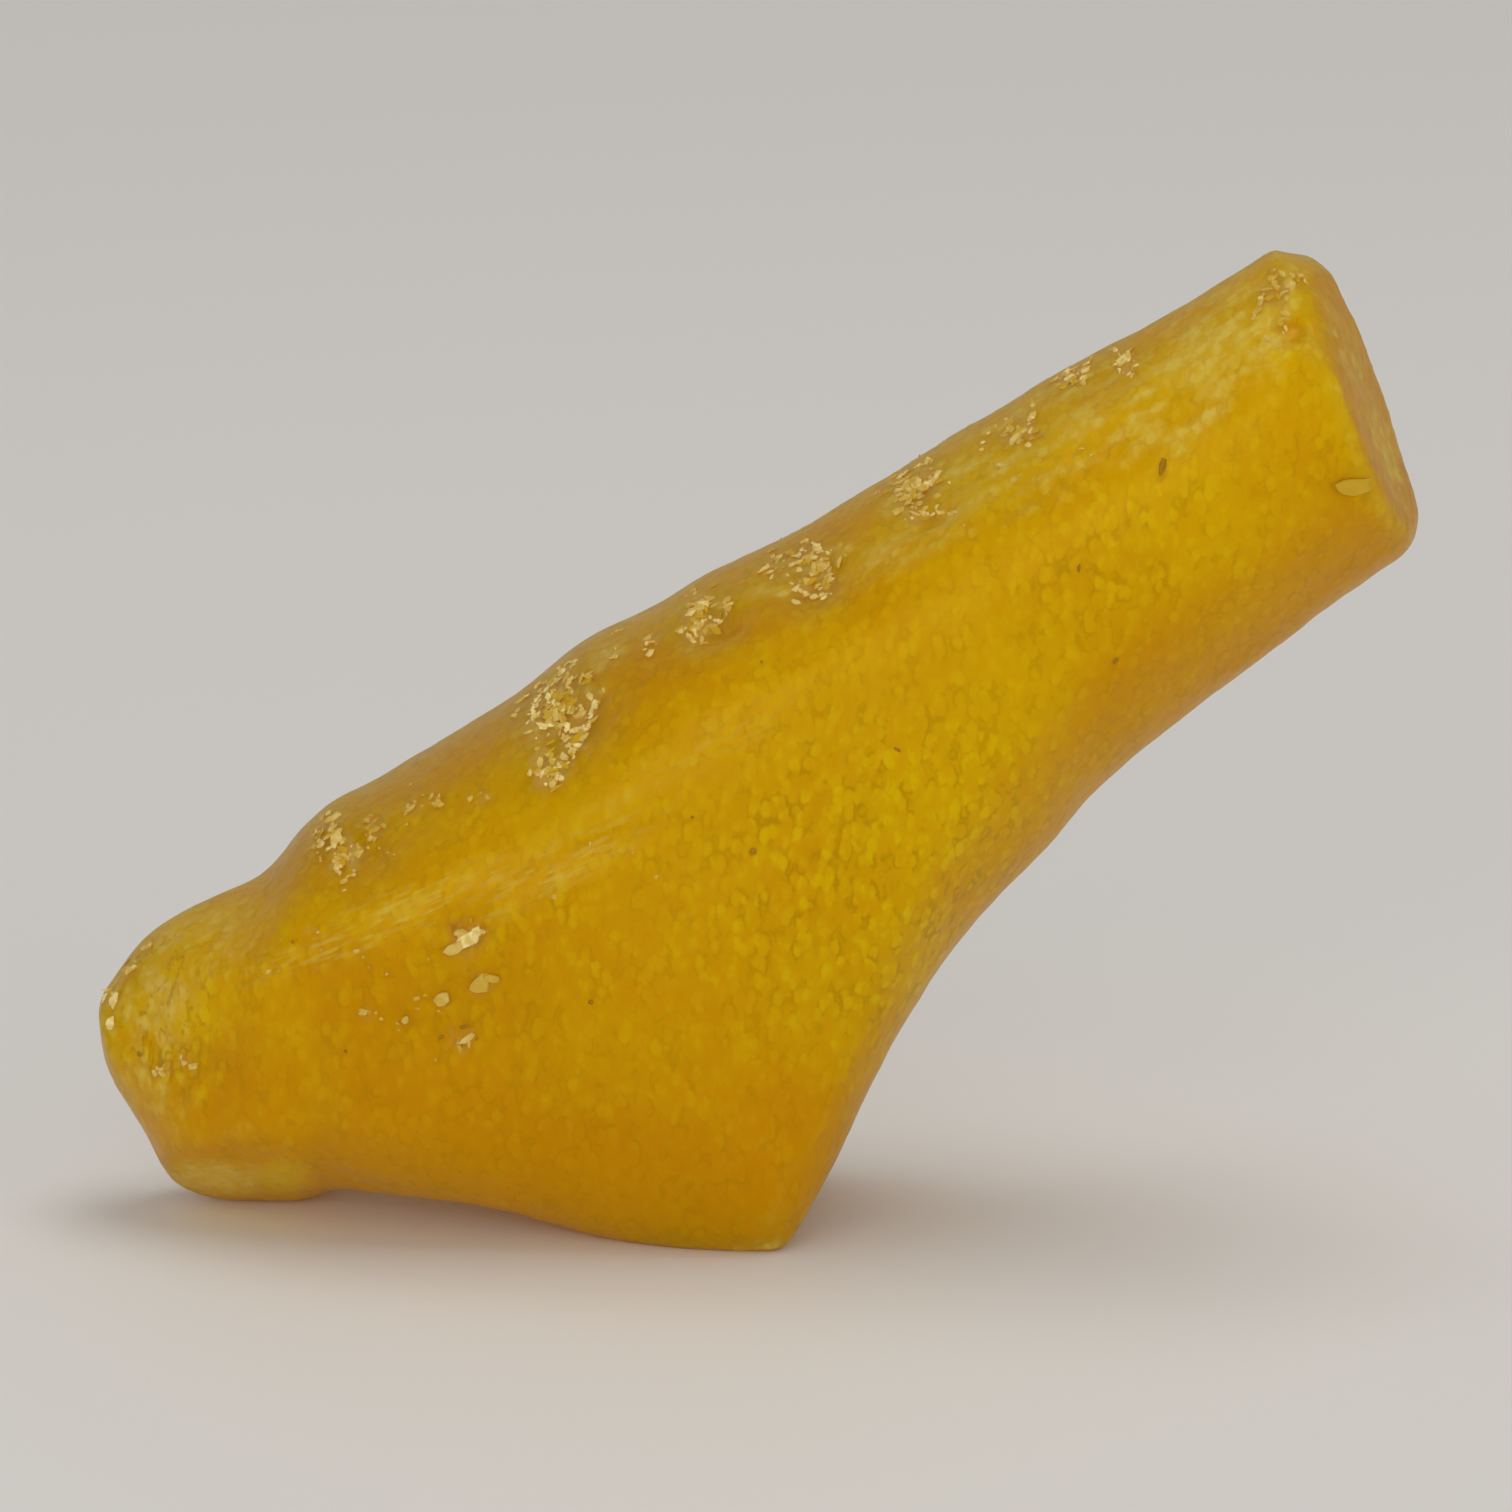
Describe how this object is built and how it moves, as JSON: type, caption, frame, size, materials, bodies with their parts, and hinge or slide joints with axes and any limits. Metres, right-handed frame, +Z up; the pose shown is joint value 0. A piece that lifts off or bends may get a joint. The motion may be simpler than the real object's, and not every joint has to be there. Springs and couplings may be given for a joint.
{
  "type": "raw amber",
  "caption": "Rough boot-shaped lump of raw golden amber, with a leaning arm, a rounded toe and a flat heel that it stands on.",
  "frame": {"origin": "middle of the foot of the lump's bounding box, on the surface that it stands on", "axes": "+X towards the arm's broken end, +Y towards the back face, +Z up"},
  "size_m": [0.0554, 0.016, 0.0415],
  "materials": {
    "amber": "cloudy see-through honey yellow, satin weathered skin with glossy chips"
  },
  "bodies": {
    "root": {"amber": "amber"}
  },
  "joints": []
}
